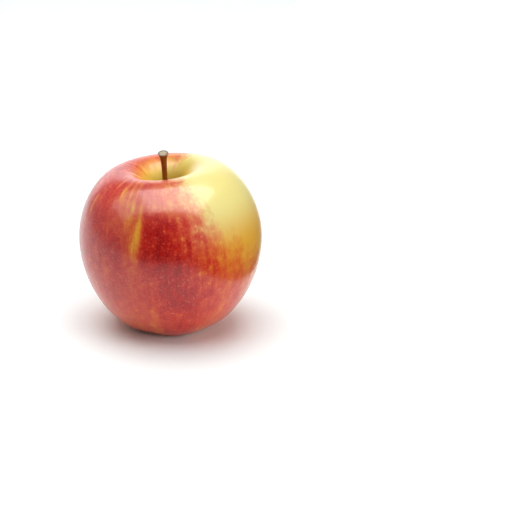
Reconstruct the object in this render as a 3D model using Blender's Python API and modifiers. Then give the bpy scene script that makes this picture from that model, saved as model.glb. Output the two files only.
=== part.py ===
"""A whole dessert apple with its stem and dried flower, standing on its foot.

Metres, +Z up. The origin lies on the surface that the apple stands on, under the middle
of the fruit. The side that is seen from the front faces -Y.
"""

import random
from math import acos, atan2, cos, exp, pi, radians, sin

import bmesh
import bpy
from mathutils import Vector

MM = 0.001

# The fruit
RADIUS = 40.0 * MM
CREST_HEIGHT = 72.0 * MM
SEGMENTS = 64
RINGS = 48

# Half section of the fruit as the control points of a smooth curve, each a share of the
# radius and of the crest's height: the stem cavity, the body, the basin with the calyx tube
CAVITY = ((0.0, 0.756), (0.062, 0.770), (0.120, 0.842), (0.220, 0.945))
BODY = ((0.381, 1.002), (0.561, 1.004), (0.746, 0.936), (0.905, 0.814), (1.004, 0.649),
        (1.004, 0.464), (0.900, 0.275), (0.722, 0.118), (0.521, 0.016))
BASIN = ((0.352, -0.011), (0.228, 0.034), (0.142, 0.116), (0.086, 0.164), (0.074, 0.220),
         (0.041, 0.263), (0.0, 0.271))
SECTION = CAVITY + BODY + BASIN

# The shoulder leans to -X, so its right side stands higher and the cavity is off centre
LEAN = 0.082
WAIST_HEIGHT = 40.0 * MM
LEAN_START = 36.0 * MM
CAVITY_SHIFT = 1.2 * MM
CREST_SHARE = 0.24

# Five crowns round the foot, which fade out up the flank and down into the basin
CROWNS = 5
CROWN_ANGLE = radians(-80)
CROWN_DEPTH = 0.6 * MM
CROWN_REACH = 16.0 * MM
RIB_DEPTH = 0.010
RIB_REACH = 38.0 * MM
PLAIN_RADIUS = 4.2 * MM
PLEATED_RADIUS = 9.0 * MM

# Slow unevenness of the girth: waves round the fruit, share of the radius, turn
WAVES = ((2, 0.0030, 0.7), (3, 0.0022, -0.9))
WAVE_INNER = 14.0 * MM
WAVE_OUTER = 30.0 * MM

# The crowns end in small flats, this far above their lowest point
FOOT_FLAT = 0.35 * MM

GAP = 0.3 * MM

# The stem
STEM_TIP_HEIGHT = 79.6 * MM
STEM_TIP_SIDEWAYS = -0.7 * MM
STEM_TIP_FORWARD = -3.9 * MM
STEM_RADIUS = 1.1 * MM
STEM_KNOB = 1.2 * MM
STEM_KNOB_LENGTH = 2.4 * MM
STEM_POINTS = 22
STEM_SIDES_LEVEL = 4
SOCKET_DEPTH = 3.0 * MM
SOCKET_MARGIN = 2.0 * MM
SOCKET_SEGMENTS = 24

# The sepals: a ring in the mouth of the calyx tube and five dried blades
RING_RADIUS = 2.9 * MM
RING_THICKNESS = 0.5 * MM
RING_HEIGHT = 11.7 * MM
RING_SEGMENTS = (30, 8)
SEPALS = 5
SEPAL_THICKNESS = 0.7 * MM
SEPAL_WIDTH = 3.2 * MM
SEPAL_POINT = 0.9 * MM
SEPAL_TAPER = 1.5
SEPAL_CUP = 0.35 * MM
SEPAL_GRID = (4, 8)
# Middle line of a sepal from its root on the ring to its curled tip: radius and height
SEPAL_LINE = ((2.9 * MM, 12.0 * MM), (3.1 * MM, 10.6 * MM), (2.95 * MM, 9.2 * MM),
              (2.9 * MM, 8.0 * MM), (3.5 * MM, 6.9 * MM), (4.7 * MM, 6.4 * MM))

# The stamens and styles: a plug across the calyx tube and the threads that hang from it
PLUG_LOW = 15.3 * MM
PLUG_HIGH = 16.9 * MM
PLUG_LOW_RADIUS = 2.4 * MM
PLUG_HIGH_RADIUS = 1.8 * MM
PLUG_SEGMENTS = 20
THREAD_RADIUS = 0.3 * MM
ANTHER_RADIUS = 0.46 * MM
STAMENS = 11
STAMEN_RING = 1.5 * MM
STAMEN_END = 9.6 * MM
STYLES = 4
STYLE_RING = 0.6 * MM
STYLE_END = 10.8 * MM
END_SPREAD = 0.5 * MM
THREAD_POINTS = 7
THREAD_SIDES_LEVEL = 1
THREAD_SWAY = 0.12 * MM
THREAD_TWIST = radians(5)
SEED = 4

WELD_DISTANCE = 0.001 * MM

SKIN_COLOUR = (0.46, 0.045, 0.03)
STEM_COLOUR = (0.13, 0.055, 0.018)
SEPAL_COLOUR = (0.19, 0.13, 0.08)
STAMEN_COLOUR = (0.09, 0.045, 0.02)
SKIN_ROUGHNESS = 0.32
STEM_ROUGHNESS = 0.6
DRY_ROUGHNESS = 0.88
SHARP_ANGLE = radians(45)


def smooth_step(low, high, value):
    """Rise smoothly from 0 at low to 1 at high."""
    share = min(max((value - low) / (high - low), 0.0), 1.0)
    return share * share * (3 - 2 * share)


def spline_point(points, share):
    """Point at a share of the way along a smooth curve whose ends mirror across the axis."""
    place = share * (len(points) - 1)
    first = min(int(place), len(points) - 2)
    t = place - first
    weights = ((1 - t) ** 3, 3 * t ** 3 - 6 * t ** 2 + 4, -3 * t ** 3 + 3 * t ** 2 + 3 * t + 1, t ** 3)
    radius = 0.0
    height = 0.0
    for step, weight in enumerate(weights):
        index = first + step - 1
        side = 1
        if index < 0:
            index = 1
            side = -1
        if index >= len(points):
            index = len(points) - 2
            side = -1
        radius += side * points[index][0] * weight / 6
        height += points[index][1] * weight / 6
    return radius, height


def line_point(points, share):
    """Point at a share of the way along straight runs between the points."""
    place = share * (len(points) - 1)
    first = min(int(place), len(points) - 2)
    t = place - first
    near, far = points[first], points[first + 1]
    return near[0] + t * (far[0] - near[0]), near[1] + t * (far[1] - near[1])


def skin_point(share, angle):
    """Point of the skin, from the cavity's floor (share 0) over the crest to the tube's end (1)."""
    radius, height = spline_point(SECTION, share)
    radius *= RADIUS
    height *= CREST_HEIGHT

    between_crowns = (1 - cos(CROWNS * (angle - CROWN_ANGLE))) / 2
    pleat = between_crowns * smooth_step(PLAIN_RADIUS, PLEATED_RADIUS, radius)
    rib = pleat * (1 - smooth_step(0, RIB_REACH, height))
    crown = pleat * (1 - smooth_step(0, CROWN_REACH, height))
    girth = smooth_step(WAVE_INNER, WAVE_OUTER, radius)
    wave = sum(size * cos(count * angle + turn) for count, size, turn in WAVES)
    radius *= 1 - RIB_DEPTH * rib + wave * girth
    height = max(height + CROWN_DEPTH * crown - FOOT_FLAT, 0.0)

    lean = LEAN * smooth_step(LEAN_START, CREST_HEIGHT, height)
    cavity = CAVITY_SHIFT * (1 - smooth_step(0, CREST_SHARE, share))
    sideways = radius * cos(angle)
    return Vector((sideways - lean * (height - WAIST_HEIGHT) - cavity,
                   radius * sin(angle),
                   height + lean * sideways))


def clear_scene():
    """Remove whatever the open file holds."""
    for existing in list(bpy.data.objects):
        bpy.data.objects.remove(existing, do_unlink=True)


def new_collection(name):
    """Make a collection in the scene."""
    collection = bpy.data.collections.new(name)
    bpy.context.scene.collection.children.link(collection)
    return collection


def new_material(name, colour, roughness):
    """Make a plain material with a Principled BSDF."""
    material = bpy.data.materials.new(name)
    material.use_nodes = True
    shader = material.node_tree.nodes["Principled BSDF"]
    shader.inputs["Base Color"].default_value = (*colour, 1.0)
    shader.inputs["Roughness"].default_value = roughness
    shader.inputs["Metallic"].default_value = 0.0
    return material


def new_object(name, data, collection, material=None):
    """Put a mesh or a curve in a collection as an object."""
    made = bpy.data.objects.new(name, data)
    collection.objects.link(made)
    if material:
        data.materials.append(material)
    return made


def mesh_from(shape, name):
    """Turn a finished bmesh into a mesh."""
    mesh = bpy.data.meshes.new(name)
    shape.to_mesh(mesh)
    shape.free()
    return mesh


def shade_round(made):
    """Shade smooth, with sharp edges where faces turn by more than the sharp angle."""
    made.data.shade_smooth()
    made.data.set_sharp_from_angle(angle=SHARP_ANGLE)


def welded_mesh(curve_object, name):
    """Turn a curve object into a closed mesh in world space and remove the curve."""
    evaluated = curve_object.evaluated_get(bpy.context.evaluated_depsgraph_get())
    mesh = bpy.data.meshes.new_from_object(evaluated)
    mesh.name = name
    mesh.transform(curve_object.matrix_world)
    shape = bmesh.new()
    shape.from_mesh(mesh)
    bmesh.ops.remove_doubles(shape, verts=shape.verts, dist=WELD_DISTANCE)
    shape.to_mesh(mesh)
    shape.free()
    bpy.data.objects.remove(curve_object, do_unlink=True)
    return mesh


def fuse(base, pieces):
    """Join a base and a collection of overlapping pieces into one solid, and drop the pieces."""
    union = base.modifiers.new("union", "BOOLEAN")
    union.operation = "UNION"
    union.operand_type = "COLLECTION"
    union.collection = pieces
    union.solver = "EXACT"
    bpy.context.view_layer.update()
    evaluated = base.evaluated_get(bpy.context.evaluated_depsgraph_get())
    fused = bpy.data.meshes.new_from_object(evaluated)
    fused.name = base.name
    base.modifiers.clear()
    base.data = fused
    for piece in list(pieces.objects):
        bpy.data.objects.remove(piece, do_unlink=True)
    bpy.data.collections.remove(pieces)


def tube_curve(name, points, radii, sides_level):
    """Make a tube through the points, with a radius at each and filled ends."""
    curve = bpy.data.curves.new(name, "CURVE")
    curve.dimensions = "3D"
    curve.bevel_depth = 1.0
    curve.bevel_resolution = sides_level
    curve.use_fill_caps = True
    spline = curve.splines.new("POLY")
    spline.points.add(len(points) - 1)
    for control, point, radius in zip(spline.points, points, radii):
        control.co = (*point, 1.0)
        control.radius = radius
    return curve


def make_fruit(parts, cutters):
    """The fruit: a sphere whose points are moved onto the skin, with a socket for the stem."""
    shape = bmesh.new()
    bmesh.ops.create_uvsphere(shape, u_segments=SEGMENTS, v_segments=RINGS, radius=1.0)
    for vertex in shape.verts:
        share = acos(max(-1.0, min(1.0, vertex.co.z))) / pi
        angle = atan2(vertex.co.y, vertex.co.x)
        vertex.co = skin_point(share, angle)
    fruit = new_object("fruit", mesh_from(shape, "fruit"), parts,
                       new_material("apple_skin", SKIN_COLOUR, SKIN_ROUGHNESS))
    shade_round(fruit)

    floor = skin_point(0, 0)
    shape = bmesh.new()
    bmesh.ops.create_cone(shape, cap_ends=True, segments=SOCKET_SEGMENTS,
                          radius1=STEM_RADIUS + GAP, radius2=STEM_RADIUS + GAP,
                          depth=SOCKET_DEPTH + SOCKET_MARGIN)
    socket = new_object("stem_socket", mesh_from(shape, "stem_socket"), cutters)
    socket.location = floor + Vector((0, 0, (SOCKET_MARGIN - SOCKET_DEPTH) / 2))
    socket.hide_render = True
    socket.display_type = "WIRE"

    cut = fruit.modifiers.new("stem_socket", "BOOLEAN")
    cut.operation = "DIFFERENCE"
    cut.object = socket
    cut.solver = "EXACT"


def stem_point(share):
    """Point on the stem's middle line, from its foot in the socket to its cut tip."""
    floor = skin_point(0, 0)
    foot = floor.z - SOCKET_DEPTH + GAP
    bend = share * share
    return Vector((floor.x + STEM_TIP_SIDEWAYS * bend,
                   floor.y + STEM_TIP_FORWARD * bend,
                   foot + (STEM_TIP_HEIGHT - foot) * share))


def make_stem(parts):
    """The stem: a bent twig that widens to a knob where it left the branch."""
    tip = stem_point(1)
    points = []
    radii = []
    for index in range(STEM_POINTS):
        share = sin(index / (STEM_POINTS - 1) * pi / 2)
        point = stem_point(share)
        points.append(point)
        radii.append(STEM_RADIUS + STEM_KNOB * exp(-(tip - point).length / STEM_KNOB_LENGTH))
    curve = tube_curve("stem", points, radii, STEM_SIDES_LEVEL)
    stem = new_object("stem", curve, parts, new_material("stem_bark", STEM_COLOUR, STEM_ROUGHNESS))
    mesh = welded_mesh(stem, "stem")
    stem = new_object("stem", mesh, parts)
    shade_round(stem)


def sepal_blade(turn):
    """One dried sepal as a thin sheet: broad at its root, pointed and curled out at its tip."""
    shape = bmesh.new()
    across, along = SEPAL_GRID
    bmesh.ops.create_grid(shape, x_segments=across, y_segments=along, size=1.0)
    for vertex in shape.verts:
        side = vertex.co.x
        share = (vertex.co.y + 1) / 2
        radius, height = line_point(SEPAL_LINE, share)
        width = SEPAL_WIDTH + (SEPAL_POINT - SEPAL_WIDTH) * share ** SEPAL_TAPER
        angle = turn + side * width / 2 / radius
        radius -= SEPAL_CUP * side * side * share
        vertex.co = (radius * cos(angle), radius * sin(angle), height)
    bmesh.ops.triangulate(shape, faces=shape.faces)
    return mesh_from(shape, "sepal_blade")


def make_sepals(parts):
    """The sepals: five dried blades on a ring in the mouth of the calyx tube."""
    around, across = RING_SEGMENTS
    bpy.ops.mesh.primitive_torus_add(major_segments=around, minor_segments=across,
                                     major_radius=RING_RADIUS, minor_radius=RING_THICKNESS,
                                     location=(0, 0, RING_HEIGHT))
    ring = bpy.context.object
    ring.name = "sepals"
    ring.data.name = "sepals"
    for collection in ring.users_collection:
        collection.objects.unlink(ring)
    parts.objects.link(ring)
    ring.data.materials.append(new_material("dried_sepal", SEPAL_COLOUR, DRY_ROUGHNESS))

    blades = new_collection("sepal_blades")
    for index in range(SEPALS):
        turn = CROWN_ANGLE + index * 2 * pi / SEPALS
        blade = new_object("sepal_blade", sepal_blade(turn), blades)
        thickness = blade.modifiers.new("thickness", "SOLIDIFY")
        thickness.thickness = SEPAL_THICKNESS
        thickness.offset = 0.0
    fuse(ring, blades)
    shade_round(ring)


def thread_curve(draw, ring_radius, turn, end_height, tip_radius):
    """One thread of the dried flower, hanging from the plug, swollen just above its end."""
    points = []
    radii = []
    start_height = (PLUG_LOW + PLUG_HIGH) / 2
    sway = draw.uniform(-1, 1)
    for index in range(THREAD_POINTS):
        share = index / (THREAD_POINTS - 1)
        radius = ring_radius + THREAD_SWAY * sway * sin(share * pi)
        angle = turn + THREAD_TWIST * sway * share
        points.append(Vector((radius * cos(angle), radius * sin(angle),
                              start_height + (end_height - start_height) * share)))
        radii.append(tip_radius if index == THREAD_POINTS - 2 else THREAD_RADIUS)
    return tube_curve("thread", points, radii, THREAD_SIDES_LEVEL)


def make_stamens(parts):
    """The stamens round the styles: threads fused to a plug across the calyx tube."""
    draw = random.Random(SEED)
    shape = bmesh.new()
    bmesh.ops.create_cone(shape, cap_ends=True, segments=PLUG_SEGMENTS,
                          radius1=PLUG_LOW_RADIUS, radius2=PLUG_HIGH_RADIUS,
                          depth=PLUG_HIGH - PLUG_LOW)
    bmesh.ops.translate(shape, vec=(0, 0, (PLUG_LOW + PLUG_HIGH) / 2), verts=shape.verts)
    plug = new_object("stamens", mesh_from(shape, "stamens"), parts,
                      new_material("dried_stamen", STAMEN_COLOUR, DRY_ROUGHNESS))

    threads = new_collection("threads")
    for count, ring_radius, end_height, tip_radius in (
            (STAMENS, STAMEN_RING, STAMEN_END, ANTHER_RADIUS),
            (STYLES, STYLE_RING, STYLE_END, THREAD_RADIUS)):
        for index in range(count):
            turn = index * 2 * pi / count
            end = end_height + draw.uniform(-1, 1) * END_SPREAD
            curve = thread_curve(draw, ring_radius, turn, end, tip_radius)
            thread = new_object("thread", curve, threads)
            mesh = welded_mesh(thread, "thread")
            new_object("thread", mesh, threads)
    fuse(plug, threads)
    shade_round(plug)


def main():
    clear_scene()
    parts = new_collection("apple")
    cutters = new_collection("cutters")
    make_fruit(parts, cutters)
    make_stem(parts)
    make_sepals(parts)
    make_stamens(parts)


main()
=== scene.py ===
"""Looks of the apple: fine skin, stem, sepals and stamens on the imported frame, in a soft studio.

Metres, +Z up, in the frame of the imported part. The side that the camera sees faces -Y.

A place on a turned body is given by its angle (0 towards +X, 90 degrees towards +Y) and by its
share of the way along the section. On the fruit, share 0 is the floor of the stem cavity, the
crest lies near 0.24, and 1 is the end of the calyx tube.
"""

import random
from functools import lru_cache, partial
from math import acos, atan2, cos, exp, pi, radians, sin

import bmesh
import bpy
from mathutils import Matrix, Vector, noise


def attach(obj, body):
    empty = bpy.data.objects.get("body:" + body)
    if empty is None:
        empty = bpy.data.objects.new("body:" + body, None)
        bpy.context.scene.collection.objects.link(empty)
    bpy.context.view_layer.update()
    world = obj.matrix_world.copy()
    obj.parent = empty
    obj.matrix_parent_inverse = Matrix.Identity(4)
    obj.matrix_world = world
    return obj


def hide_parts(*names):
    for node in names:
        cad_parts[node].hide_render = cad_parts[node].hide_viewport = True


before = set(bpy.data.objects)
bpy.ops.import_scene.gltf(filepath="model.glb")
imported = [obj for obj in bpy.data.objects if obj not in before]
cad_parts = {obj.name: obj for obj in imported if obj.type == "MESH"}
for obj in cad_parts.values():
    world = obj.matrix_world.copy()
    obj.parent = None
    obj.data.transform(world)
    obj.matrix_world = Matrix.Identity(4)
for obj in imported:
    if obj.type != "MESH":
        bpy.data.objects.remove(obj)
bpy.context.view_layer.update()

MM = 0.001
BODY = "root"

# The fruit, with the same driving sizes as its solid
RADIUS = 40.0 * MM
CREST_HEIGHT = 72.0 * MM
FRUIT_GRID = (384, 256)

# Half section of the fruit as the control points of a smooth curve, each a share of the
# radius and of the crest's height: the stem cavity, the body, the basin with the calyx tube
CAVITY = ((0.0, 0.756), (0.062, 0.770), (0.120, 0.842), (0.220, 0.945))
FLANK = ((0.381, 1.002), (0.561, 1.004), (0.746, 0.936), (0.905, 0.814), (1.004, 0.649),
         (1.004, 0.464), (0.900, 0.275), (0.722, 0.118), (0.521, 0.016))
BASIN = ((0.352, -0.011), (0.228, 0.034), (0.142, 0.116), (0.086, 0.164), (0.074, 0.220),
         (0.041, 0.263), (0.0, 0.271))
SECTION = CAVITY + FLANK + BASIN

# The shoulder leans to -X, so its right side stands higher and the cavity is off centre
LEAN = 0.082
WAIST_HEIGHT = 40.0 * MM
LEAN_START = 36.0 * MM
CAVITY_SHIFT = 1.2 * MM
CREST_SHARE = 0.24

# Five crowns round the foot, which fade out up the flank and down into the basin
CROWNS = 5
CROWN_ANGLE = radians(-80)
CROWN_DEPTH = 0.6 * MM
CROWN_REACH = 16.0 * MM
RIB_DEPTH = 0.010
RIB_REACH = 38.0 * MM
PLAIN_RADIUS = 4.2 * MM
PLEATED_RADIUS = 9.0 * MM
FOOT_FLAT = 0.35 * MM

# Slow unevenness of the girth: waves round the fruit, share of the radius, turn
WAVES = ((2, 0.0030, 0.7), (3, 0.0022, -0.9))
WAVE_INNER = 14.0 * MM
WAVE_OUTER = 30.0 * MM

# Fine relief of the skin: shallow dents, and grooves that run from the stem to the flower.
# It starts outside the cavity's floor and fades towards the foot.
DENT_DEPTH = 0.10 * MM
DENT_SPACING = 13.0 * MM
GROOVE_DEPTH = 0.035 * MM
GROOVES = 26.0
GROOVE_DRIFT = 4.0
RELIEF_HEIGHT = 6.0 * MM
RELIEF_START = (0.05, 0.15)
COLLAR_HEIGHT = 0.7 * MM
COLLAR_RADIUS = 2.1 * MM

# The bare yellow side: middle, half width round the fruit, half length in share of the section
PATCH_ANGLE = radians(-4)
PATCH_WIDTH = radians(69)
PATCH_SHARE = 0.27
PATCH_LENGTH = 0.22
PATCH_POWER = 2.7

# Paler places in the red (and, with a negative strength, deeper ones): angle, first and last
# share, soft ends, half width, strength
STREAKS = (
    (radians(-86.0), 0.345, 0.480, 0.030, radians(21.0), -0.52),
    (radians(-107.3), 0.305, 0.440, 0.070, radians(3.3), 0.84),
    (radians(-110.5), 0.350, 0.474, 0.060, radians(3.5), 0.70),
    (radians(-80.0), 0.330, 0.462, 0.040, radians(5.5), 0.16),
    (radians(-106.5), 0.270, 0.370, 0.040, radians(2.4), 0.24),
    (radians(-114.5), 0.300, 0.490, 0.060, radians(6.0), 0.42),
    (radians(-113.5), 0.430, 0.550, 0.060, radians(2.4), 0.26),
    (radians(-113.0), 0.220, 0.335, 0.040, radians(1.7), 0.16),
    (radians(-124.0), 0.250, 0.430, 0.070, radians(13.0), 0.46),
    (radians(-94.0), 0.150, 0.360, 0.035, radians(31.0), 0.52),
    (radians(-127.0), 0.190, 0.335, 0.050, radians(3.2), 0.42),
    (radians(-119.0), 0.190, 0.325, 0.050, radians(2.5), 0.34),
    (radians(-158.0), 0.310, 0.380, 0.020, radians(1.8), 0.70),
    (radians(-132.5), 0.365, 0.415, 0.020, radians(1.5), 0.30),
    (radians(-139.0), 0.225, 0.310, 0.030, radians(1.9), 0.55),
    (radians(-150.0), 0.200, 0.370, 0.040, radians(17.0), 0.22),
    # Deeper red low on the front right: painted shade
    (radians(-79.0), 0.425, 0.680, 0.050, radians(17.0), -0.90),
    (radians(95.0), 0.080, 0.400, 0.120, radians(50.0), 0.62),
)
STREAK_POWER = 2.4

# The stem: a dished cut face, a rounded rim, a knob below it, and bark with ridges and wrinkles
STEM_TIP_HEIGHT = 79.6 * MM
STEM_TIP_SIDEWAYS = -0.7 * MM
STEM_TIP_FORWARD = -3.9 * MM
STEM_RADIUS = 1.1 * MM
STEM_KNOB = 1.2 * MM
STEM_KNOB_LENGTH = 2.4 * MM
STEM_ROOT_DEPTH = 2.7 * MM
STEM_GRID = (64, 240)
STEM_STEP = 0.01
FACE_SHARE = 0.14
FACE_DISH = 0.22 * MM
FACE_FLATNESS = 4
FACE_ROUGHNESS = 0.05 * MM
FACE_GRAIN = 5.0
FACE_SLICE = 3.0
RIM_SHARE = 0.19
RIM_ROUND = 0.35 * MM
RIM_DROP = 0.5
BARK_DEPTH = 0.09 * MM
RIDGES = 3.2
RIDGE_LENGTH = 5.0 * MM
WRINKLES = 9.0
WRINKLE_LENGTH = 1.2 * MM
WRINKLE_SHARE = 0.5

# The ring that the sepals grow from
RING_RADIUS = 2.9 * MM
RING_THICKNESS = 0.5 * MM
RING_HEIGHT = 11.7 * MM
RING_LUMPS = 4.0
RING_UNEVENNESS = 0.2
RING_GRID = (60, 16)

# The sepals, each a thin blade that follows a line of (radius, height) points down and out
SEPALS = 5
SEPAL_LINE = ((2.9 * MM, 12.0 * MM), (3.1 * MM, 10.6 * MM), (2.95 * MM, 9.2 * MM),
              (2.9 * MM, 8.0 * MM), (3.5 * MM, 6.9 * MM), (4.7 * MM, 6.4 * MM))
SEPAL_THICKNESS = 0.28 * MM
SEPAL_WIDTH = 3.2 * MM
SEPAL_POINT = 0.5 * MM
SEPAL_TAPER = 1.5
SEPAL_CUP = 0.45 * MM
SEPAL_GRID = (28, 44)
SIDE_SHARPNESS = 8
END_SHARPNESS = 16
RAGGED_WIDTH = 0.14
RAGGED_STEPS = 6.0
VEIN_DEPTH = 0.05 * MM
VEIN_TURN = 9.0
RIPPLE_DEPTH = 0.22 * MM
RIPPLES_ACROSS = 3.0
RIPPLES_ALONG = 5.0
BLADE_VARIETY = 20.0
WELD_DISTANCE = 0.002 * MM

# The sepals' hairs; the mark is what tells them from the blades in the material
HAIRS_PER_SEPAL = 90
HAIR_LENGTH = (0.5 * MM, 1.2 * MM)
HAIR_RADIUS = 0.035 * MM
HAIR_POINT = 0.2
HAIR_ROOTS = (0.05, 0.98)
HAIR_DROOP = (-1.2, 0.2)
HAIR_MARK = 2.0
HAIR_MARK_WIDTH = 0.01

# The stamens and styles, which hang from a plug across the calyx tube
PLUG_LOW = 15.3 * MM
PLUG_HIGH = 16.9 * MM
PLUG_RADIUS = 2.4 * MM
PLUG_GRID = (40, 16)
THREAD_RADIUS = 0.16 * MM
THREAD_GRID = (12, 40)
THREAD_SWAY = 0.25 * MM
THREAD_BENDS = 1.5
THREAD_TURN = radians(8)
THREAD_BLUNTNESS = 6.0
ANTHER_RADIUS = 0.46 * MM
ANTHER_SHARE = 0.90
ANTHER_LENGTH = 0.05
STAMENS = 11
STAMEN_RING = 1.5 * MM
STAMEN_END = 9.6 * MM
STYLES = 4
STYLE_RING = 0.6 * MM
STYLE_END = 10.8 * MM
END_SPREAD = 0.5 * MM
SEED = 4

# Colours of the skin, linear. The pigment is what red skin of strength 1 lets through.
YELLOW = (0.82, 0.71, 0.25)
# Golden ground: partly the skin's own colour, partly painted shade low on the right side
GOLDEN_AND_SHADE = (0.80, 0.41, 0.040)
HOLLOW = (0.65, 0.46, 0.055)
# Olive: partly the hollows' own colour, partly painted shade deep in the cavity and on the crest's front
OLIVE_AND_SHADE = (0.37, 0.23, 0.004)
PIGMENT = (0.57, 0.016, 0.090)
LENTICEL = (0.82, 0.28, 0.18)
DEEPEST_BLUSH = 1.95
MOST_CLEARED = 0.95

# Scales of the skin's noises: three for the angle's cosine, its sine and the share, or one
# for the place in metres
BROAD_SCALE = (4.0, 4.0, 5.0)
STREAK_SCALE = (20.0, 20.0, 14.0)
RAY_SCALE = (34.0, 34.0, 7.0)
BLOTCH_SCALE = 260.0
DOT_SCALE = 450.0
MOTTLE_SCALE = 600.0
SPECK_SCALE = 1250.0
GRAIN_SCALE = 2600.0
DOT_SIZE = 0.30
DOT_CORE = 0.2

# Middle of a noise, and of the height of a relief
MIDDLE = 0.5

# How far each noise moves a number of the skin
REACH_NOISE = {"broad": 0.35, "streaks": 0.13, "blotches": 0.14, "mottle": 0.16}
CAVITY_NOISE = {"streaks": 0.08, "broad": 0.05, "rays": 0.03}
BASIN_NOISE = {"streaks": 0.25, "rays": 0.10}
LEVEL_NOISE = {"broad": 0.8, "blotches": 1.3, "streaks": 0.8, "mottle": 1.9}
STREAK_NOISE = {"streaks": 1.3, "mottle": 0.5}
RELIEF_NOISE = {"grain": 0.30, "rays": 0.5, "mottle": 0.3}
ROUGHNESS_NOISE = {"mottle": 0.2}

# A ramp below gives a number's low and high end, then the results there if not 0 and 1.
# Red pigment: by reach from the yellow side's middle, by share out of both hollows, and
# weaker down the flank and at the foot
RED_EDGE = (0.75, 1.46)
CAVITY_EDGE = (0.160, 0.255)
BASIN_EDGE = (0.60, 0.73, 1.0, 0.12)
FLANK_FADE = (0.43, 0.47, 1.0, 0.8)
FOOT_FADE = (0.495, 0.57, 1.0, 0.6)

# Pale flecks in the red: rays on the shoulder, mottling below it
FLECK_CHANGE = (0.29, 0.38)
RAY_FLECKS = (0.47, 0.68, 0.0, 0.24)
MOTTLE_FLECKS = (0.43, 0.70, 0.0, 0.46)

# Ground colour: golden away from the yellow side's middle and lower down, olive in the hollows
# and a little on the front of the crest. The olive on the front of the crest is painted shade; the
# golden ground is partly painted shade low on the right side, and the olive deep in the cavity is
# partly painted shade. The cavity's colours reach further at its back and right, at the right as
# painted shade.
GOLD_AND_SHADE_OUTWARD = (0.74, 1.20)
GOLD_AND_SHADE_DOWN = (0.35, 0.43)
# The first number pushes the cavity's colours further out on its right wall: painted shade
CAVITY_SHADE_RIGHT = -0.035
CAVITY_BACK = -0.020
CAVITY_WALL = (0.13, 0.21, 1.0, 0.0)
CAVITY_DEPTH = (0.08, 0.16, 1.0, 0.0)
BASIN_WALL = (0.62, 0.72)
BASIN_DEPTH = (0.68, 0.86, 0.0, 0.6)
# Painted shade: where olive is mixed into the ground on the front of the crest
CREST_SHADE_FRONT = (-0.98, -0.75, 0.20, 0.0)
CREST_SHADE_FROM = (0.20, 0.27)
CREST_SHADE_TO = (0.33, 0.38, 1.0, 0.0)

# Away from the front the shoulder is a brighter red, which is painted light: the pigment takes less of the
# red light there
LIT_SHOULDER_SIDE = (-0.88, -0.65)
LIT_SHOULDER_FROM = (0.24, 0.29)
LIT_SHOULDER_TO = (0.32, 0.37, 0.34, 0.0)

# Lenticels: dots that grow stronger down the flank, and finer specks in the red
DOTS_DOWN = (0.24, 0.52, 0.05, 0.20)
DOTS_AT_FOOT = (0.60, 0.72, 1.0, 0.3)
SPECKS = (0.48, 0.72, 0.0, 0.15)
SPECKS_IN_RED = (0.15, 0.50)

# Gloss of the skin: waxy outside the cavity, dull inside it
SKIN_BUMP = 0.05 * MM
SKIN_ROUGHNESS = 0.34
DULL_ROUGHNESS = 0.5
WAX_START = (0.13, 0.21)
WAX_COVER = 0.70
SKIN_FINISH = {"specular_ior_level": 0.25, "sheen_weight": 0.03, "sheen_roughness": 0.4,
               "coat_roughness": 0.17, "coat_ior": 1.5}

# The stem's colours and ramps
BARK_TIP = (0.270, 0.060, 0.002)
BARK_ROOT = (0.380, 0.180, 0.002)
BARK_DARK = (0.080, 0.016, 0.001)
BARK_SPECK = (0.36, 0.18, 0.04)
WOOD_PALE = (0.56, 0.46, 0.33)
WOOD_DARK = (0.32, 0.22, 0.13)
RIM_GREY = (0.20, 0.19, 0.12)
RIM_DARK = (0.10, 0.07, 0.04)
BARK_SCALE = (5.0, 5.0, 9.0)
BARK_SPECK_SCALE = 2200.0
BARK_CHANGE = (0.35, 0.85)
BARK_STREAKS = (0.35, 0.70, 0.0, 0.65)
BARK_SPECKS = (0.60, 0.75, 0.0, 0.4)
WOOD_SPECKS = (0.35, 0.65)
RIM_SPECKS = (0.4, 0.6)
FACE_TO_RIM = (0.085, 0.135)
RIM_TO_BARK = (0.150, 0.200)
BARK_ROUGHNESS = (0.3, 0.7, 0.42, 0.66)
BARK_GLOSS = 0.3

# The dried flower's colours and ramps
BLADE_ROOT = (0.20, 0.16, 0.07)
BLADE_TIP = (0.12, 0.075, 0.04)
BLADE_VEIN = (0.33, 0.25, 0.15)
BLADE_SPECK = (0.45, 0.38, 0.27)
HAIR_COLOUR = (0.62, 0.56, 0.44)
BLADE_SCALE = (7.0, 1.0, 1.6)
BLADE_SPECK_SCALE = 2400.0
BLADE_CHANGE = (0.1, 0.95)
BLADE_VEINS = (0.4, 0.65, 0.0, 0.7)
BLADE_SPECKS = (0.55, 0.7, 0.0, 0.5)
THREAD_DARK = (0.16, 0.085, 0.035)
THREAD_PALE = (0.30, 0.19, 0.09)
ANTHER_COLOUR = (0.035, 0.02, 0.012)
THREAD_SPECK_SCALE = 2600.0
THREAD_SPECKS = (0.35, 0.65)
ANTHER_START = (0.82, 0.87)
DRY_BUMP = 0.12 * MM
THREAD_BUMP = 0.1 * MM
DRY_RELIEF = (0.8, 0.4)
DRY_ROUGHNESS = (0.3, 0.7, 0.75, 0.95)

# The camera
CAMERA_ELEVATION = radians(20.5)
CAMERA_DISTANCE = 1.0
CAMERA_LENS = 158.1
CAMERA_CLIP = 0.05
AIM_RIGHT = 37.5 * MM
AIM_UP = 28.8 * MM

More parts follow.
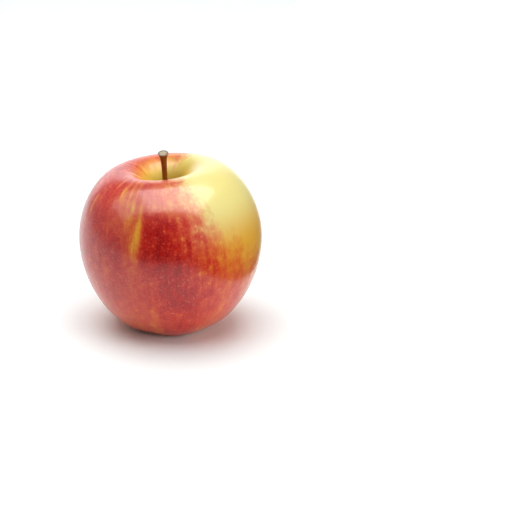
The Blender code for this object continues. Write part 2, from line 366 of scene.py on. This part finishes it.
# Lights: size, centre and power of a softbox overhead, of the two panels that the wax
# reflects, and of a fill from the front right
SOFTBOX_SIZE = (1.22, 1.30)
SOFTBOX_CENTRE = (-0.12, 0.10, 1.10)
SOFTBOX_POWER = 16.0
GLOSS_SIZE = (1.50, 1.16)
GLOSS_CENTRE = (0.19, -0.25, 1.09)
GLOSS_POWER = 32.5
SIDE_GLOSS_SIZE = (1.34, 1.10)
SIDE_GLOSS_CENTRE = (-1.23, -0.20, 1.08)
SIDE_GLOSS_POWER = 10.0
FILL_SIZE = (2.2, 1.4)
FILL_CENTRE = (1.45, -0.75, 0.45)
FILL_POWER = 25.0

# The floor
FLOOR_NEAR = -0.20
FLOOR_FAR = 1.60
FLOOR_LEFT = -1.10
FLOOR_RIGHT = 0.065
FLOOR_COLOUR = (0.90, 0.955, 0.945)
FLOOR_ROUGHNESS = 0.7
FLOOR_GRAIN_SCALE = 900.0
FLOOR_BUMP = 0.02 * MM

# The room's brightness by direction: ramps along Y, X and Z, the last two as shares
ROOM_BACKWARDS = (-0.25, 0.55, 0.03, 0.44)
ROOM_BACKDROP = (0.73, 0.86, 0.0, 0.92)
ROOM_LEFT = (-0.88, -0.68, 0.52, 0.0)
ROOM_UPWARDS = (0.52, 0.72, 1.0, 0.8)
ROOM_RIGHTWARDS = (0.05, 0.5, 1.0, 0.15)
WHITE = (1.0, 1.0, 1.0)


def smooth_step(low, high, value):
    """Rise smoothly from 0 at low to 1 at high."""
    share = min(max((value - low) / (high - low), 0.0), 1.0)
    return share * share * (3 - 2 * share)


@lru_cache(maxsize=None)
def spline_point(points, share):
    """Point at a share of the way along a smooth curve whose ends mirror across the axis."""
    place = share * (len(points) - 1)
    first = min(int(place), len(points) - 2)
    t = place - first
    weights = ((1 - t) ** 3, 3 * t ** 3 - 6 * t ** 2 + 4, -3 * t ** 3 + 3 * t ** 2 + 3 * t + 1, t ** 3)
    radius = 0.0
    height = 0.0
    for step, weight in enumerate(weights):
        index = first + step - 1
        side = 1
        if index < 0:
            index = 1
            side = -1
        if index >= len(points):
            index = len(points) - 2
            side = -1
        radius += side * points[index][0] * weight / 6
        height += points[index][1] * weight / 6
    return radius, height


def line_point(points, share):
    """Point at a share of the way along straight runs between the points."""
    place = share * (len(points) - 1)
    first = min(int(place), len(points) - 2)
    t = place - first
    near, far = points[first], points[first + 1]
    return near[0] + t * (far[0] - near[0]), near[1] + t * (far[1] - near[1])


def noise_round(angle, scale, along):
    """Smooth random number from -1 to 1 that closes on itself round an axis."""
    return noise.noise(Vector((scale * cos(angle), scale * sin(angle), along)))


def skin_point(share, angle):
    """Point of the skin, from the cavity's floor (share 0) over the crest to the tube's end (1)."""
    radius, height = spline_point(SECTION, share)
    radius *= RADIUS
    height *= CREST_HEIGHT

    between_crowns = (1 - cos(CROWNS * (angle - CROWN_ANGLE))) / 2
    pleat = between_crowns * smooth_step(PLAIN_RADIUS, PLEATED_RADIUS, radius)
    rib = pleat * (1 - smooth_step(0, RIB_REACH, height))
    crown = pleat * (1 - smooth_step(0, CROWN_REACH, height))
    girth = smooth_step(WAVE_INNER, WAVE_OUTER, radius)
    wave = sum(size * cos(count * angle + turn) for count, size, turn in WAVES)
    radius *= 1 - RIB_DEPTH * rib + wave * girth
    height = max(height + CROWN_DEPTH * crown - FOOT_FLAT, 0.0)

    lean = LEAN * smooth_step(LEAN_START, CREST_HEIGHT, height)
    cavity = CAVITY_SHIFT * (1 - smooth_step(0, CREST_SHARE, share))
    sideways = radius * cos(angle)
    return Vector((sideways - lean * (height - WAIST_HEIGHT) - cavity,
                   radius * sin(angle),
                   height + lean * sideways))


CAVITY_FLOOR = skin_point(0.0, 0.0)


def fine_skin_point(share, angle):
    """Point of the skin with its shallow dents, its grooves and the collar round the stem."""
    point = skin_point(share, angle)
    inward = Vector((-cos(angle), -sin(angle), 0.0))
    strength = smooth_step(0.0, RELIEF_HEIGHT, point.z) * smooth_step(*RELIEF_START, share)
    dent = noise.noise(point / DENT_SPACING)
    groove = noise_round(angle, GROOVES, GROOVE_DRIFT * share)
    point += inward * strength * (DENT_DEPTH * dent + GROOVE_DEPTH * groove)
    if share < CREST_SHARE:
        away = (point - CAVITY_FLOOR).to_2d().length
        point.z += COLLAR_HEIGHT * exp(-((away / COLLAR_RADIUS) ** 2))
    return point


def new_shape(*numbers):
    """Start a mesh whose points know their place on the plant, and hold the named numbers."""
    shape = bmesh.new()
    shape.verts.layers.float_vector.new("growth")
    for name in numbers:
        shape.verts.layers.float.new(name)
    return shape


def add_turned(shape, grid, place):
    """Add a closed round body: a sphere whose points are moved to place(share, angle)."""
    growth = shape.verts.layers.float_vector["growth"]
    segments, rings = grid
    made = bmesh.ops.create_uvsphere(shape, u_segments=segments, v_segments=rings, radius=1.0)
    for vertex in made["verts"]:
        share = acos(max(-1.0, min(1.0, vertex.co.z))) / pi
        angle = atan2(vertex.co.y, vertex.co.x)
        vertex.co = place(share, angle)
        vertex[growth] = (cos(angle), sin(angle), share)
    return made["verts"]


def new_piece(name, shape, nodes, material):
    """Turn a mesh into a piece that replaces a node of the frame and rides on its body."""
    mesh = bpy.data.meshes.new(name)
    shape.to_mesh(mesh)
    shape.free()
    mesh.shade_smooth()
    mesh.materials.append(material)
    piece = bpy.data.objects.new(name, mesh)
    bpy.context.scene.collection.objects.link(piece)
    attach(piece, BODY)
    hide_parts(*nodes)


def turn_between(first, second):
    """Smallest turn from the first angle to the second."""
    return (second - first + pi) % (2 * pi) - pi


def patch_reach(share, angle):
    """Distance from the middle of the bare yellow side, 1 at its edge."""
    aside = abs(turn_between(PATCH_ANGLE, angle)) / PATCH_WIDTH
    along = abs(share - PATCH_SHARE) / PATCH_LENGTH
    return (aside ** PATCH_POWER + along ** PATCH_POWER) ** (1 / PATCH_POWER)


def streak_strength(share, angle):
    """How far the paler places clear the red at a point."""
    total = 0.0
    for middle, first, last, soft, half_width, strength in STREAKS:
        if first < share < last:
            along = smooth_step(first, first + soft, share) * (1 - smooth_step(last - soft, last, share))
            aside = turn_between(middle, angle) / (half_width * along ** 0.5)
            total += strength * along * exp(-abs(aside) ** STREAK_POWER)
    return min(total, 1.0)


def make_fruit():
    """The fruit's skin, with the numbers that its colours need."""
    shape = new_shape("reach", "pale")
    reach = shape.verts.layers.float["reach"]
    pale = shape.verts.layers.float["pale"]
    growth = shape.verts.layers.float_vector["growth"]
    for vertex in add_turned(shape, FRUIT_GRID, fine_skin_point):
        across, back, share = vertex[growth]
        angle = atan2(back, across)
        vertex[reach] = patch_reach(share, angle)
        vertex[pale] = streak_strength(share, angle)
    new_piece("apple_skin", shape, ["fruit"], skin_material())


def stem_middle(share):
    """Point on the stem's middle line, from its foot in the flesh to its cut tip."""
    foot = CAVITY_FLOOR.z - STEM_ROOT_DEPTH
    bend = share * share
    return Vector((CAVITY_FLOOR.x + STEM_TIP_SIDEWAYS * bend,
                   CAVITY_FLOOR.y + STEM_TIP_FORWARD * bend,
                   foot + (STEM_TIP_HEIGHT - foot) * share))


def stem_section(share, angle, distance):
    """Radius of the stem, and lift along it: the dished cut face, the round rim, then the side."""
    radius = STEM_RADIUS + STEM_KNOB * exp(-distance / STEM_KNOB_LENGTH)
    if share < FACE_SHARE:
        inner = share / FACE_SHARE
        rough = FACE_ROUGHNESS * noise_round(angle, FACE_GRAIN * inner, FACE_SLICE)
        return (radius - RIM_ROUND) * inner, rough - FACE_DISH * (1 - inner ** FACE_FLATNESS)
    if share < RIM_SHARE:
        turn = (share - FACE_SHARE) / (RIM_SHARE - FACE_SHARE) * pi / 2
        return radius - RIM_ROUND * (1 - sin(turn)), -RIM_ROUND * RIM_DROP * (1 - cos(turn))
    return radius, -RIM_ROUND * RIM_DROP * exp(-distance / RIM_ROUND)


def fine_stem_point(share, angle):
    """Point of the stem, from the middle of its cut face over the rim and down to its foot."""
    down = max(share - RIM_SHARE, 0.0) / (1 - RIM_SHARE)
    up = 1 - down
    distance = down * (stem_middle(1.0) - stem_middle(0.0)).length
    along = (stem_middle(up + STEM_STEP) - stem_middle(up - STEM_STEP)).normalized()
    side = along.cross(Vector((0, 1, 0))).normalized()
    front = along.cross(side).normalized()
    radius, lift = stem_section(share, angle, distance)
    ridge = noise_round(angle, RIDGES, distance / RIDGE_LENGTH)
    wrinkle = noise_round(angle, WRINKLES, distance / WRINKLE_LENGTH)
    radius += smooth_step(0.0, RIM_SHARE, share) * BARK_DEPTH * (ridge + WRINKLE_SHARE * wrinkle)
    return stem_middle(up) - side * radius * cos(angle) - front * radius * sin(angle) + along * lift


def make_stem():
    """The stem with its bark, its knob and the pale cut face."""
    shape = new_shape()
    add_turned(shape, STEM_GRID, fine_stem_point)
    bmesh.ops.recalc_face_normals(shape, faces=shape.faces)
    new_piece("apple_stem", shape, ["stem"], stem_material())


def ring_point(share, angle):
    """Point of the uneven ring that the sepals grow from; share goes once round its section."""
    swell = RING_THICKNESS * (1 + RING_UNEVENNESS * noise_round(angle, RING_LUMPS, 0))
    turn = share * 2 * pi
    radius = RING_RADIUS + swell * sin(turn)
    return Vector((radius * cos(angle), radius * sin(angle), RING_HEIGHT + swell * cos(turn)))


def sepal_point(turn, side, share, variety):
    """Point on a dried sepal: side -1 to 1 across it, share 0 at its root and 1 at its tip."""
    radius, height = line_point(SEPAL_LINE, share)
    width = SEPAL_WIDTH + (SEPAL_POINT - SEPAL_WIDTH) * share ** SEPAL_TAPER
    ragged = 1 + RAGGED_WIDTH * noise.noise(Vector((RAGGED_STEPS * share, variety, side)))
    angle = turn + side * ragged * width / 2 / radius
    vein = VEIN_DEPTH * cos(side * VEIN_TURN)
    ripple = noise.noise(Vector((RIPPLES_ACROSS * side, RIPPLES_ALONG * share, variety)))
    radius += RIPPLE_DEPTH * share * ripple + vein - SEPAL_CUP * side * side * share
    return Vector((radius * cos(angle), radius * sin(angle), height))


def add_sepal(shape, turn, variety):
    """Add one dried blade as a thin closed sheet of two grids that meet at its edge."""
    growth = shape.verts.layers.float_vector["growth"]
    across, along = SEPAL_GRID
    outward = Vector((cos(turn), sin(turn), 0.0))
    for face in (1, -1):
        made = bmesh.ops.create_grid(shape, x_segments=across, y_segments=along, size=1.0)
        for vertex in made["verts"]:
            side = vertex.co.x
            share = (vertex.co.y + 1) / 2
            thin = (1 - side ** SIDE_SHARPNESS) * (1 - (2 * share - 1) ** END_SHARPNESS)
            point = sepal_point(turn, side, share, variety)
            vertex.co = point + outward * face * SEPAL_THICKNESS / 2 * thin
            vertex[growth] = (side, variety, share)
        if face == 1:
            flipped = {one for vertex in made["verts"] for one in vertex.link_faces}
            bmesh.ops.reverse_faces(shape, faces=list(flipped))


def add_hair(shape, root, direction, length):
    """Add one short tapering hair."""
    growth = shape.verts.layers.float_vector["growth"]
    aside = direction.orthogonal().normalized()
    across = direction.cross(aside).normalized()
    made = bmesh.ops.create_cone(shape, cap_ends=True, segments=3, radius1=1.0,
                                 radius2=HAIR_POINT, depth=1.0)
    for vertex in made["verts"]:
        along = vertex.co.z + 0.5
        vertex.co = (root + direction * length * along
                     + (aside * vertex.co.x + across * vertex.co.y) * HAIR_RADIUS)
        vertex[growth] = (0.0, HAIR_MARK, along)


def close_blades(shape):
    """Join the two sheets of each blade at its edge, and cut off the corners that they share."""
    bmesh.ops.remove_doubles(shape, verts=shape.verts, dist=WELD_DISTANCE)
    corners = [vertex for vertex in shape.verts if len(vertex.link_edges) == 2]
    bmesh.ops.dissolve_verts(shape, verts=corners)


def make_sepals():
    """The five dried sepals on their ring, with their woolly hairs."""
    draw = random.Random(SEED)
    shape = new_shape()
    add_turned(shape, RING_GRID, ring_point)
    for index in range(SEPALS):
        turn = CROWN_ANGLE + index * 2 * pi / SEPALS
        variety = draw.uniform(0, BLADE_VARIETY)
        add_sepal(shape, turn, variety)
        for _ in range(HAIRS_PER_SEPAL):
            side = draw.uniform(-1, 1)
            share = draw.uniform(*HAIR_ROOTS)
            root = sepal_point(turn, side, share, variety)
            outward = Vector((cos(turn), sin(turn), 0.0)) * draw.choice((-1, 1))
            spread = Vector((draw.uniform(-1, 1), draw.uniform(-1, 1), draw.uniform(*HAIR_DROOP)))
            add_hair(shape, root, (outward + spread).normalized(), draw.uniform(*HAIR_LENGTH))
    close_blades(shape)
    new_piece("dried_sepals", shape, ["sepals"], sepal_material())


def plug_point(share, angle):
    """Point of the plug across the calyx tube that the threads share as their root."""
    turn = share * pi
    radius = PLUG_RADIUS * sin(turn) ** 0.5
    height = (PLUG_LOW + PLUG_HIGH) / 2 + (PLUG_HIGH - PLUG_LOW) / 2 * cos(turn)
    return Vector((radius * cos(angle), radius * sin(angle), height))


def thread_point(turn, ring_radius, end, tip_radius, sway, share, angle):
    """Point of a thread that hangs from inside the plug to the given height, a bit bent."""
    start = (PLUG_LOW + PLUG_HIGH) / 2
    radius = ring_radius + THREAD_SWAY * sway * sin(share * pi * THREAD_BENDS)
    bearing = turn + THREAD_TURN * sway * share
    middle = Vector((radius * cos(bearing), radius * sin(bearing), start + (end - start) * share))
    swell = exp(-((share - ANTHER_SHARE) / ANTHER_LENGTH) ** 2)
    thick = THREAD_RADIUS + (tip_radius - THREAD_RADIUS) * swell
    thick *= min(1.0, sin(pi * share) * THREAD_BLUNTNESS) ** 0.5
    return middle + Vector((thick * cos(angle), thick * sin(angle), 0.0))


def make_stamens():
    """The dried stamens and styles, hanging from their root across the calyx tube."""
    draw = random.Random(SEED)
    shape = new_shape()
    add_turned(shape, PLUG_GRID, plug_point)
    for count, ring_radius, end_height, tip_radius in (
            (STAMENS, STAMEN_RING, STAMEN_END, ANTHER_RADIUS),
            (STYLES, STYLE_RING, STYLE_END, THREAD_RADIUS)):
        for index in range(count):
            turn = index * 2 * pi / count
            end = end_height + draw.uniform(-1, 1) * END_SPREAD
            sway = draw.uniform(-1, 1)
            place = partial(thread_point, turn, ring_radius, end, tip_radius, sway)
            add_turned(shape, THREAD_GRID, place)
    new_piece("dried_stamens", shape, ["stamens"], stamen_material())


class Graph:
    """Adds shader nodes to a tree and links them."""

    def __init__(self, tree):
        self.tree = tree
        tree.nodes.clear()

    def node(self, kind, inputs=(), **settings):
        """Add a node, set its options, and feed its inputs with numbers or other nodes' outputs."""
        made = self.tree.nodes.new(kind)
        for name, value in settings.items():
            setattr(made, name, value)
        for key, value in dict(inputs).items():
            if isinstance(value, bpy.types.NodeSocket):
                self.tree.links.new(value, made.inputs[key])
            else:
                made.inputs[key].default_value = value
        return made

    def math(self, operation, first, second=0.0):
        """Result of a sum or another operation on two numbers."""
        return self.node("ShaderNodeMath", {0: first, 1: second}, operation=operation).outputs[0]

    def rest(self, number):
        """What a number leaves of 1."""
        return self.math("SUBTRACT", 1.0, number)

    def product(self, first, *others):
        """All the numbers multiplied."""
        for other in others:
            first = self.math("MULTIPLY", first, other)
        return first

    def total(self, start, *terms):
        """The start value plus each term's weight times its number less its middle."""
        for weight, number, middle in terms:
            part = self.product(self.math("SUBTRACT", number, middle), weight)
            start = self.math("ADD", start, part)
        return start

    def varied(self, start, numbers, weights):
        """The start value, moved up and down by the named noises times their weights."""
        return self.total(start, *((weight, numbers[name], MIDDLE) for name, weight in weights.items()))

    def between(self, value, low, high, start=0.0, end=1.0):
        """Smooth change from start where value is low to end where it is high."""
        made = self.node("ShaderNodeMapRange",
                         {"Value": value, "From Min": low, "From Max": high,
                          "To Min": start, "To Max": end}, interpolation_type="SMOOTHSTEP")
        return made.outputs["Result"]

    def mix(self, share, first, second, blend="MIX"):
        """Blend of two colours, or of two numbers as greys."""
        made = self.node("ShaderNodeMix", {0: share, 6: first, 7: second},
                         data_type="RGBA", blend_type=blend)
        return made.outputs[2]

    def scaled(self, vector, scale):
        """A vector with each part multiplied by its own scale."""
        return self.node("ShaderNodeVectorMath", {0: vector, 1: scale}, operation="MULTIPLY").outputs[0]

    def axes(self, vector):
        """The three parts of a vector, by X, Y and Z."""
        return self.node("ShaderNodeSeparateXYZ", {0: vector}).outputs

    def noise(self, vector, scale=1.0, detail=2.0, roughness=0.5):
        """Smooth random number from 0 to 1."""
        made = self.node("ShaderNodeTexNoise", {"Vector": vector, "Scale": scale,
                                                "Detail": detail, "Roughness": roughness})
        return made.outputs[0]

    def dots(self, vector, scale, size):
        """Mask of scattered round dots: 1 in their middle and 0 outside."""
        cells = self.node("ShaderNodeTexVoronoi", {"Vector": vector, "Scale": scale})
        return self.between(cells.outputs["Distance"], size * DOT_CORE, size, 1.0, 0.0)

    def number(self, name):
        """A number that the mesh holds at each point."""
        return self.node("ShaderNodeAttribute", attribute_name=name).outputs["Fac"]

    def growth(self):
        """Cosine and sine of the angle round the plant's axis, and the share along it."""
        return self.node("ShaderNodeAttribute", attribute_name="growth").outputs["Vector"]

    def object_place(self):
        """Place on the object, in metres."""
        return self.node("ShaderNodeTexCoord").outputs["Object"]


def rgba(colour):
    """A colour with full cover."""
    return (*colour, 1.0)


def finish_material(graph, height, distance, **inputs):
    """Add the surface shader with a bump of the given height."""
    bump = graph.node("ShaderNodeBump", {"Strength": 1.0, "Distance": distance, "Height": height})
    names = {name.replace("_", " ").title().replace("Ior", "IOR"): value for name, value in inputs.items()}
    shader = graph.node("ShaderNodeBsdfPrincipled", {**names, "Normal": bump.outputs["Normal"]})
    graph.node("ShaderNodeOutputMaterial", {"Surface": shader.outputs[0]})


def new_graph(name):
    """Start a material and its graph."""
    material = bpy.data.materials.new(name)
    material.use_nodes = True
    return material, Graph(material.node_tree)


def skin_numbers(graph):
    """The places and noises that the skin's colours and relief follow, by name."""
    growth = graph.growth()
    place = graph.object_place()
    axes = graph.axes(growth)
    numbers = {
        "across": axes["X"],
        "back": axes["Y"],
        "share": axes["Z"],
        "broad": graph.noise(graph.scaled(growth, BROAD_SCALE)),
        "streaks": graph.noise(graph.scaled(growth, STREAK_SCALE), detail=3.0, roughness=0.6),
        "rays": graph.noise(graph.scaled(growth, RAY_SCALE)),
        "blotches": graph.noise(place, BLOTCH_SCALE),
        "dots": graph.dots(place, DOT_SCALE, DOT_SIZE),
        "mottle": graph.noise(place, MOTTLE_SCALE, detail=3.0, roughness=0.6),
        "specks": graph.noise(place, SPECK_SCALE, roughness=0.6),
        "grain": graph.noise(place, GRAIN_SCALE),
    }
    numbers["reach"] = graph.varied(graph.number("reach"), numbers, REACH_NOISE)
    return numbers


def skin_red(graph, skin):
    """Red before any streak: none on the yellow side and in the cavity, little in the basin."""
    share = skin["share"]
    flecks = graph.mix(graph.between(share, *FLECK_CHANGE),
                       graph.between(skin["rays"], *RAY_FLECKS),
                       graph.between(skin["mottle"], *MOTTLE_FLECKS))
    fade = graph.product(graph.between(share, *FLANK_FADE), graph.between(share, *FOOT_FADE))
    level = graph.product(graph.varied(1.0, skin, LEVEL_NOISE), fade, graph.rest(flecks))
    return graph.product(graph.between(skin["reach"], *RED_EDGE),
                         graph.between(graph.varied(share, skin, CAVITY_NOISE), *CAVITY_EDGE),
                         graph.between(graph.varied(share, skin, BASIN_NOISE), *BASIN_EDGE),
                         level)


def skin_blush(graph, skin):
    """Strength of the red, cleared or deepened by the streaks."""
    streak = graph.product(graph.number("pale"), graph.varied(1.0, skin, STREAK_NOISE))
    kept = graph.rest(graph.math("MINIMUM", streak, MOST_CLEARED))
    blush = graph.math("MAXIMUM", graph.product(skin_red(graph, skin), kept), 0.0)
    return graph.math("MINIMUM", blush, DEEPEST_BLUSH)


def skin_ground(graph, skin):
    """Colour under the red: yellow, golden lower down, olive in the hollows; partly painted shade."""
    share = skin["share"]
    # The cavity's colours reach further out at its right: painted shade on the right wall
    depth = graph.total(share, (CAVITY_SHADE_RIGHT, skin["across"], 0.0), (CAVITY_BACK, skin["back"], 0.0))
    # Golden ground: partly its own colour and partly painted shade low on the right side
    gold_and_shade = graph.math("MAXIMUM", graph.between(skin["reach"], *GOLD_AND_SHADE_OUTWARD),
                      graph.between(share, *GOLD_AND_SHADE_DOWN))
    hollow = graph.math("MAXIMUM", graph.between(depth, *CAVITY_WALL),
                        graph.between(share, *BASIN_WALL))
    # Olive deep in the cavity: partly its own colour and partly painted shade
    olive = graph.math("MAXIMUM", graph.between(depth, *CAVITY_DEPTH),
                       graph.between(share, *BASIN_DEPTH))
    # Painted shade on the front of the crest: a little olive mixed into the ground there
    crest = graph.product(graph.between(share, *CREST_SHADE_FROM), graph.between(share, *CREST_SHADE_TO),
                          graph.between(skin["back"], *CREST_SHADE_FRONT))
    ground = graph.mix(gold_and_shade, rgba(YELLOW), rgba(GOLDEN_AND_SHADE))
    ground = graph.mix(hollow, ground, rgba(HOLLOW))
    return graph.mix(graph.math("MAXIMUM", olive, crest), ground, rgba(OLIVE_AND_SHADE))


def skin_pigment(graph, skin, blush):
    """What the red lets through of the ground's colour: a power of the pigment's own colour."""
    share = skin["share"]
    # Painted light: the red is lighter on the shoulder away from the front
    lit_shoulder = graph.product(graph.between(share, *LIT_SHOULDER_FROM),
                             graph.between(share, *LIT_SHOULDER_TO),
                             graph.between(skin["back"], *LIT_SHOULDER_SIDE))
    lit_red_strength = graph.product(blush, graph.rest(lit_shoulder))
    strengths = (lit_red_strength, blush, blush)
    passed = [graph.math("POWER", part, strength) for part, strength in zip(PIGMENT, strengths)]
    return graph.node("ShaderNodeCombineColor", dict(enumerate(passed))).outputs[0]


def skin_lenticels(graph, skin, blush):
    """Cover of the pale dots and the finer specks."""
    share = skin["share"]
    dots = graph.product(skin["dots"], graph.between(share, *DOTS_AT_FOOT),
                         graph.between(share, *DOTS_DOWN))
    specks = graph.product(graph.between(skin["specks"], *SPECKS),
                           graph.between(blush, *SPECKS_IN_RED))
    return graph.math("ADD", dots, specks)


def skin_material():
    """Red over yellow: streaks along the fruit, mottling, pale dots and a thin wax coat."""
    material, graph = new_graph("apple_skin")
    skin = skin_numbers(graph)
    blush = skin_blush(graph, skin)
    colour = graph.mix(1.0, skin_ground(graph, skin), skin_pigment(graph, skin, blush), "MULTIPLY")
    colour = graph.mix(skin_lenticels(graph, skin, blush), colour, rgba(LENTICEL))

    wax = graph.between(skin["share"], *WAX_START)
    roughness = graph.total(graph.varied(SKIN_ROUGHNESS, skin, ROUGHNESS_NOISE),
                            (-DULL_ROUGHNESS, wax, 1.0))
    finish_material(graph, graph.varied(MIDDLE, skin, RELIEF_NOISE), SKIN_BUMP, base_color=colour,
                    roughness=roughness, coat_weight=graph.product(wax, WAX_COVER), **SKIN_FINISH)
    return material


def dry_height(graph, coarse, fine):
    """Height of a dry surface from two noises."""
    coarse_weight, fine_weight = DRY_RELIEF
    return graph.total(MIDDLE, (coarse_weight, coarse, MIDDLE), (fine_weight, fine, MIDDLE))


def stem_material():
    """Red-brown bark that turns olive towards the root, and a pale cut face with a grey rim."""
    material, graph = new_graph("stem_bark")
    growth = graph.growth()
    share = graph.axes(growth)["Z"]
    streaks = graph.noise(graph.scaled(growth, BARK_SCALE), detail=4.0, roughness=0.65)
    specks = graph.noise(graph.object_place(), BARK_SPECK_SCALE, detail=3.0)
    bark = graph.mix(graph.between(share, *BARK_CHANGE), rgba(BARK_TIP), rgba(BARK_ROOT))
    bark = graph.mix(graph.between(streaks, *BARK_STREAKS), bark, rgba(BARK_DARK))
    bark = graph.mix(graph.between(specks, *BARK_SPECKS), bark, rgba(BARK_SPECK))
    wood = graph.mix(graph.between(specks, *WOOD_SPECKS), rgba(WOOD_PALE), rgba(WOOD_DARK))
    rim = graph.mix(graph.between(specks, *RIM_SPECKS), rgba(RIM_GREY), rgba(RIM_DARK))
    end = graph.mix(graph.between(share, *FACE_TO_RIM), wood, rim)
    colour = graph.mix(graph.between(share, *RIM_TO_BARK), end, bark)
    finish_material(graph, dry_height(graph, streaks, specks), DRY_BUMP, base_color=colour,
                    roughness=graph.between(streaks, *BARK_ROUGHNESS), specular_ior_level=BARK_GLOSS)
    return material


def sepal_material():
    """Dry brown sepals with paler veins and specks, and pale hairs."""
    material, graph = new_graph("dried_sepal")
    growth = graph.growth()
    axes = graph.axes(growth)
    veins = graph.noise(graph.scaled(growth, BLADE_SCALE), detail=3.0, roughness=0.6)
    specks = graph.noise(graph.object_place(), BLADE_SPECK_SCALE, detail=3.0)
    blade = graph.mix(graph.between(axes["Z"], *BLADE_CHANGE), rgba(BLADE_ROOT), rgba(BLADE_TIP))
    blade = graph.mix(graph.between(veins, *BLADE_VEINS), blade, rgba(BLADE_VEIN))
    blade = graph.mix(graph.between(specks, *BLADE_SPECKS), blade, rgba(BLADE_SPECK))
    hairs = graph.product(graph.math("GREATER_THAN", axes["Y"], HAIR_MARK - HAIR_MARK_WIDTH),
                          graph.math("LESS_THAN", axes["Y"], HAIR_MARK + HAIR_MARK_WIDTH))
    colour = graph.mix(hairs, blade, rgba(HAIR_COLOUR))
    finish_material(graph, dry_height(graph, veins, specks), DRY_BUMP, base_color=colour,
                    roughness=graph.between(specks, *DRY_ROUGHNESS))
    return material


def stamen_material():
    """Dry brown threads with blackened anthers."""
    material, graph = new_graph("dried_stamen")
    share = graph.axes(graph.growth())["Z"]
    specks = graph.noise(graph.object_place(), THREAD_SPECK_SCALE, detail=3.0)
    thread = graph.mix(graph.between(specks, *THREAD_SPECKS), rgba(THREAD_DARK), rgba(THREAD_PALE))
    colour = graph.mix(graph.between(share, *ANTHER_START), thread, rgba(ANTHER_COLOUR))
    finish_material(graph, specks, THREAD_BUMP, base_color=colour,
                    roughness=graph.between(specks, *DRY_ROUGHNESS))
    return material


def make_floor():
    """A plain pale floor that ends a little in front of the apple and a little to its right."""
    shape = bmesh.new()
    bmesh.ops.create_grid(shape, x_segments=1, y_segments=1, size=1.0)
    for vertex in shape.verts:
        vertex.co.x = FLOOR_RIGHT if vertex.co.x > 0 else FLOOR_LEFT
        vertex.co.y = FLOOR_FAR if vertex.co.y > 0 else FLOOR_NEAR
    mesh = bpy.data.meshes.new("floor")
    shape.to_mesh(mesh)
    shape.free()
    material, graph = new_graph("floor_paper")
    grain = graph.noise(graph.object_place(), FLOOR_GRAIN_SCALE)
    finish_material(graph, grain, FLOOR_BUMP, base_color=rgba(FLOOR_COLOUR), roughness=FLOOR_ROUGHNESS)
    mesh.materials.append(material)
    floor = bpy.data.objects.new("floor", mesh)
    bpy.context.scene.collection.objects.link(floor)


def make_light(name, power, size, place):
    """A large soft light, which shines down until it is turned."""
    lamp = bpy.data.lights.new(name, "AREA")
    lamp.shape = "RECTANGLE"
    lamp.size, lamp.size_y = size
    lamp.energy = power
    light = bpy.data.objects.new(name, lamp)
    light.location = place
    bpy.context.scene.collection.objects.link(light)
    return light


def make_lights():
    """A softbox overhead, two panels that only reflections see, and a fill from the front right."""
    softbox = make_light("softbox", SOFTBOX_POWER, SOFTBOX_SIZE, SOFTBOX_CENTRE)
    softbox.visible_glossy = False
    gloss = make_light("gloss", GLOSS_POWER, GLOSS_SIZE, GLOSS_CENTRE)
    gloss.visible_diffuse = False
    side = make_light("side gloss", SIDE_GLOSS_POWER, SIDE_GLOSS_SIZE, SIDE_GLOSS_CENTRE)
    side.visible_diffuse = False
    fill = make_light("fill", FILL_POWER, FILL_SIZE, FILL_CENTRE)
    fill.rotation_euler = Vector(FILL_CENTRE).to_track_quat("Z", "Y").to_euler()
    fill.visible_glossy = False


def make_world():
    """A room that is brightest behind the apple and darkest in front, and white to the camera."""
    world = bpy.data.worlds.new("studio")
    bpy.context.scene.world = world
    world.use_nodes = True
    graph = Graph(world.node_tree)
    axes = graph.axes(graph.node("ShaderNodeTexCoord").outputs["Generated"])
    level = graph.math("ADD", graph.between(axes["Y"], *ROOM_BACKWARDS),
                       graph.between(axes["Y"], *ROOM_BACKDROP))
    level = graph.math("MAXIMUM", level, graph.between(axes["X"], *ROOM_LEFT))
    level = graph.product(level, graph.between(axes["Z"], *ROOM_UPWARDS),
                          graph.between(axes["X"], *ROOM_RIGHTWARDS))
    seen = graph.node("ShaderNodeLightPath").outputs["Is Camera Ray"]
    strength = graph.math("MAXIMUM", level, seen)
    shader = graph.node("ShaderNodeBackground", {"Color": rgba(WHITE), "Strength": strength})
    graph.node("ShaderNodeOutputWorld", {"Surface": shader.outputs[0]})


def make_camera():
    """The camera of the photograph: a long lens, a little above the apple, which stands left of centre."""
    lens = bpy.data.cameras.new("camera")
    lens.lens = CAMERA_LENS
    lens.clip_start = CAMERA_CLIP
    camera = bpy.data.objects.new("camera", lens)
    up = Vector((0, sin(CAMERA_ELEVATION), cos(CAMERA_ELEVATION)))
    back = Vector((0, -cos(CAMERA_ELEVATION), sin(CAMERA_ELEVATION)))
    camera.location = Vector((AIM_RIGHT, 0, 0)) + up * AIM_UP + back * CAMERA_DISTANCE
    camera.rotation_euler = (pi / 2 - CAMERA_ELEVATION, 0, 0)
    bpy.context.scene.collection.objects.link(camera)
    bpy.context.scene.camera = camera


make_fruit()
make_stem()
make_sepals()
make_stamens()
make_floor()
make_lights()
make_world()
make_camera()
bpy.context.scene.view_settings.view_transform = "Standard"
